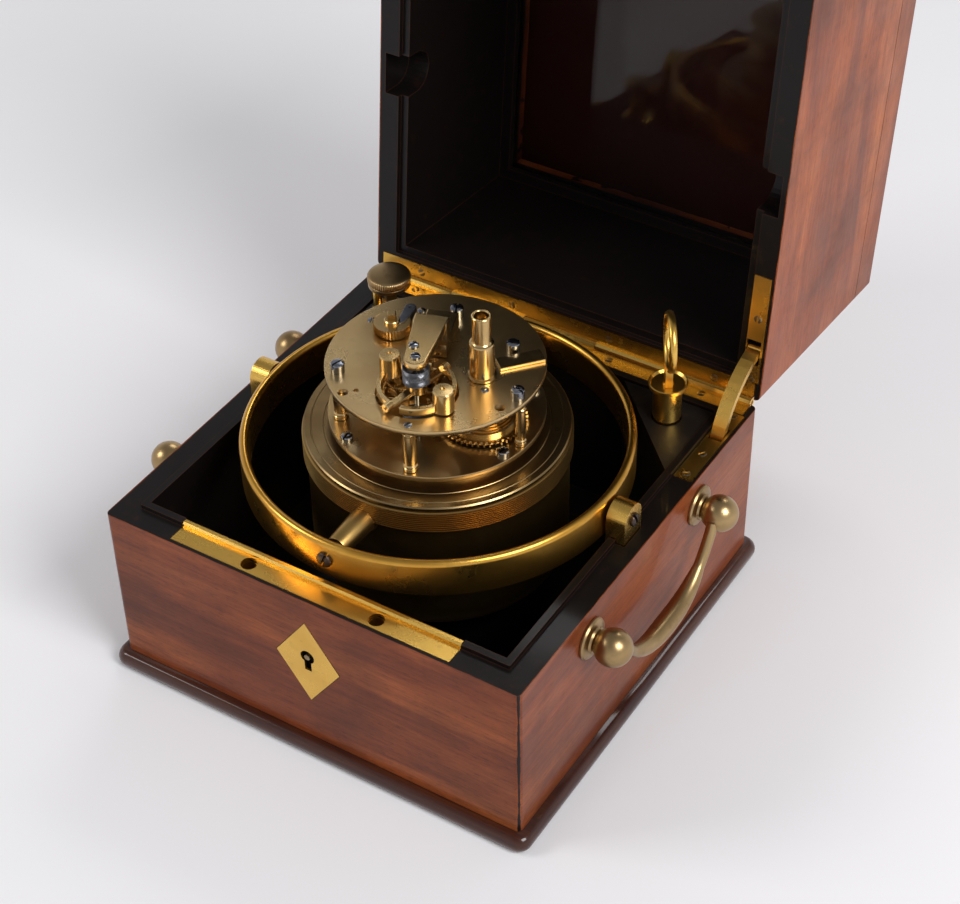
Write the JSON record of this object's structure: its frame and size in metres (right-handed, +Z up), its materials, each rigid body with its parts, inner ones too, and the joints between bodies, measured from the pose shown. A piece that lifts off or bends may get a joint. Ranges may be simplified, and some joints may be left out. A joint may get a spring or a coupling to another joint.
{
  "type": "marine chronometer",
  "caption": "Boxed marine chronometer, open: gimballed brass bowl in a mahogany case with drop handles, glazed middle tier and lid swung back, movement standing dial-down on the bowl.",
  "frame": {"origin": "middle of the underside of the base board", "axes": "+X to the right along the front (the lock side faces -Y), +Y to the hinges at the back, +Z up"},
  "size_m": [0.2256, 0.328, 0.2737],
  "materials": {
    "mahogany": "french polished",
    "ebonised": "ebonised, satin",
    "brass": "lacquered, lightly aged",
    "movement_brass": "spotted and polished",
    "steel": "polished",
    "dark_steel": "dark",
    "glass": "clear"
  },
  "bodies": {
    "case": {"base_board": "mahogany", "lower_case": "mahogany", "strike_plate": "brass", "escutcheon": "brass", "lock_case": "brass", "lock_pin": "steel", "hinge_lower_leaf": "brass", "hinge_pin": "brass", "stay_slot_plate": "brass", "key_block": "ebonised", "gimbal_lock_block": "ebonised", "gimbal_lock_base": "brass", "gimbal_lug_right": "brass", "gimbal_lug_left": "brass", "gimbal_screw_right": "steel", "gimbal_screw_left": "steel", "handle_mount_right_front": "brass", "handle_mount_right_rear": "brass", "handle_mount_left_front": "brass", "handle_mount_left_rear": "brass"},
    "lock_bolt": {"lock_bolt": "steel"},
    "winding_key": {"winding_key": "brass"},
    "lock_knob": {"gimbal_lock_knob": "brass"},
    "right_handle": {"handle_right": "brass"},
    "left_handle": {"handle_left": "brass"},
    "tier": {"tier_frame": "mahogany", "hinge_upper_leaf": "brass", "tier_stay_plate": "brass", "tier_lock_plate": "brass", "tier_glass": "glass", "glass_bead": "ebonised", "lid_hinge_lower_leaf": "brass", "lid_hinge_pin": "brass"},
    "stay": {"stay_arm": "brass"},
    "lid": {"top_lid": "mahogany", "lid_hinge_upper_leaf": "brass"},
    "ring": {"gimbal_ring": "brass", "bowl_pivot_screw_front": "dark_steel", "bowl_pivot_screw_rear": "dark_steel"},
    "bowl": {"bowl": "brass"},
    "movement": {"dial_plate": "brass", "pillar_plate": "movement_brass", "top_plate": "movement_brass", "pillar_1": "movement_brass", "pillar_2": "movement_brass", "pillar_3": "movement_brass", "pillar_4": "movement_brass", "balance_cock": "movement_brass", "winding_pipe": "movement_brass", "setup_ratchet": "movement_brass", "balance_spring": "steel", "detent": "steel"},
    "balance": {"balance_wheel": "movement_brass", "balance_staff": "steel"},
    "barrel": {"barrel": "movement_brass"},
    "fusee": {"fusee": "movement_brass"},
    "centre_wheel": {"centre_wheel": "movement_brass"},
    "third_wheel": {"third_wheel": "movement_brass"},
    "fourth_wheel": {"fourth_wheel": "movement_brass"},
    "escape_wheel": {"escape_wheel": "movement_brass"}
  },
  "joints": [
    {"name": "tier_hinge", "type": "hinge", "parent": "case", "child": "tier", "pos_m": [0, 0.0964, 0.0833], "axis": [-1, 0, 0], "range_deg": [-95.8, 0]},
    {"name": "stay_pivot", "type": "hinge", "parent": "tier", "child": "stay", "pos_m": [0.0891, 0.10181, 0.10687], "axis": [1, 0, 0], "range_deg": [-24.4, 0.3]},
    {"name": "lid_hinge", "type": "hinge", "parent": "tier", "child": "lid", "pos_m": [0, 0.19191, 0.0736], "axis": [-1, 0, 0], "range_deg": [0, 95]},
    {"name": "lock_bolt_throw", "type": "slide", "parent": "case", "child": "lock_bolt", "axis": [1, 0, 0], "range_m": [0, 0.003]},
    {"name": "key_lift", "type": "slide", "parent": "case", "child": "winding_key", "axis": [0, 0, 1], "range_m": [0, 0.035]},
    {"name": "lock_knob_turn", "type": "hinge", "parent": "case", "child": "lock_knob", "pos_m": [-0.07, 0.07, 0.095], "axis": [0, 0, 1], "range_deg": [0, 180]},
    {"name": "right_handle_swing", "type": "hinge", "parent": "case", "child": "right_handle", "pos_m": [0.105, 0, 0.069], "axis": [0, -1, 0], "range_deg": [0, 170]},
    {"name": "left_handle_swing", "type": "hinge", "parent": "case", "child": "left_handle", "pos_m": [-0.105, 0, 0.069], "axis": [0, 1, 0], "range_deg": [0, 170]},
    {"name": "ring_tilt", "type": "hinge", "parent": "case", "child": "ring", "pos_m": [0, 0, 0.0923], "axis": [1, 0, 0], "range_deg": [-25, 25]},
    {"name": "bowl_tilt", "type": "hinge", "parent": "ring", "child": "bowl", "pos_m": [0, 0, 0.0923], "axis": [0, 1, 0], "range_deg": [-25, 25]},
    {"name": "movement_lift", "type": "slide", "parent": "bowl", "child": "movement", "axis": [0, 0, 1], "range_m": [0, 0.06]},
    {"name": "balance_swing", "type": "hinge", "parent": "movement", "child": "balance", "pos_m": [0.0045, -0.02, 0.139], "axis": [0, 0, 1], "range_deg": [-220, 220], "stiffness_Nm_per_rad": 0.0003},
    {"name": "fourth_spin", "type": "hinge", "parent": "movement", "child": "fourth_wheel", "pos_m": [-0.01716, -0.00958, 0.1295], "axis": [0, 0, 1], "continuous": true},
    {"name": "escape_spin", "type": "hinge", "parent": "movement", "child": "escape_wheel", "pos_m": [-0.01294, -0.01752, 0.1295], "axis": [0, 0, 1], "continuous": true},
    {"name": "third_spin", "type": "hinge", "parent": "movement", "child": "third_wheel", "pos_m": [-0.00796, -0.00796, 0.1275], "axis": [0, 0, 1], "continuous": true},
    {"name": "centre_spin", "type": "hinge", "parent": "movement", "child": "centre_wheel", "pos_m": [0, 0, 0.1255], "axis": [0, 0, 1], "continuous": true},
    {"name": "fusee_spin", "type": "hinge", "parent": "movement", "child": "fusee", "pos_m": [0.0206, 0.0012, 0.113], "axis": [0, 0, 1], "continuous": true},
    {"name": "barrel_spin", "type": "hinge", "parent": "movement", "child": "barrel", "pos_m": [-0.025, 0.0075, 0.118], "axis": [0, 0, 1], "continuous": true}
  ],
  "couplings": [
    {"joint": "stay_pivot", "follows": "tier_hinge", "ratio": 0.2524},
    {"joint": "escape_spin", "follows": "fourth_spin", "ratio": -8},
    {"joint": "third_spin", "follows": "fourth_spin", "ratio": -0.125},
    {"joint": "centre_spin", "follows": "fourth_spin", "ratio": 0.016667},
    {"joint": "fusee_spin", "follows": "fourth_spin", "ratio": -0.0034722},
    {"joint": "barrel_spin", "follows": "fourth_spin", "ratio": -0.0021528}
  ]
}
